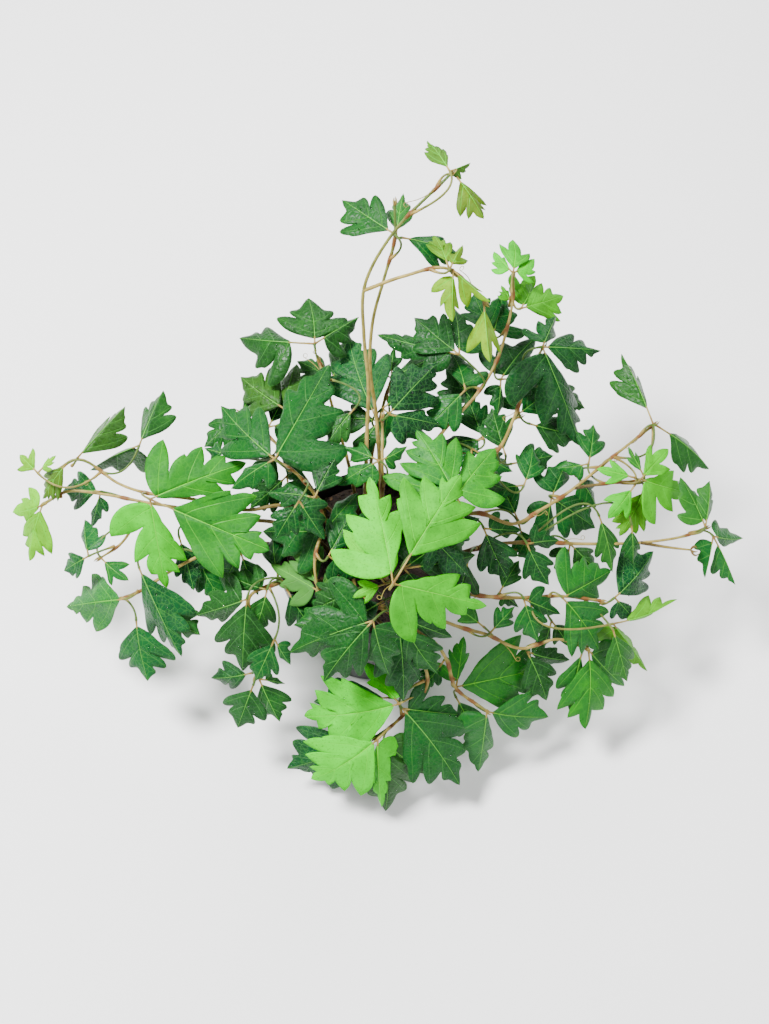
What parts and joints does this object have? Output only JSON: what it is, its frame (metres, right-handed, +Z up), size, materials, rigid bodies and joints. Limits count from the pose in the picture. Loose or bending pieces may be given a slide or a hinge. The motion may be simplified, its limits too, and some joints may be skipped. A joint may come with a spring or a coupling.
{
  "type": "potted grape ivy",
  "caption": "Climbing houseplant with lobed three-part leaves on arching stems that spread from a round nursery pot.",
  "frame": {"origin": "middle of the pot's base, on the surface that it stands on", "axes": "+Z up along the pot's axis; +X to the right across the bush's widest spread, seen from its front; -Y towards the front"},
  "size_m": [0.4817, 0.3282, 0.33],
  "materials": {
    "black_plastic": "satin",
    "peat": "matte",
    "ivy": "satin"
  },
  "bodies": {
    "root": {"pot": "black_plastic", "peat": "peat", "leafy_stem_left_long": "ivy", "leafy_stem_left_middle": "ivy", "leafy_stem_left_low": "ivy", "leafy_stem_upper_left": "ivy", "leafy_stem_top_left": "ivy", "leafy_stem_tall": "ivy", "leafy_stem_tall_second": "ivy", "leafy_stem_upper_right": "ivy", "leafy_stem_right_upper": "ivy", "leafy_stem_upper_middle": "ivy", "leafy_stem_right_long": "ivy", "leafy_stem_right_far": "ivy", "leafy_stem_right_front": "ivy", "leafy_stem_front_right": "ivy", "leafy_stem_front_hanging": "ivy", "leafy_stem_front_low": "ivy", "leafy_stem_centre": "ivy", "leafy_stem_front_middle": "ivy", "leafy_stem_front_left": "ivy", "leafy_stem_middle_left": "ivy", "leafy_stem_back_left": "ivy", "leafy_stem_back_middle": "ivy", "leafy_stem_back_right": "ivy"}
  },
  "joints": []
}
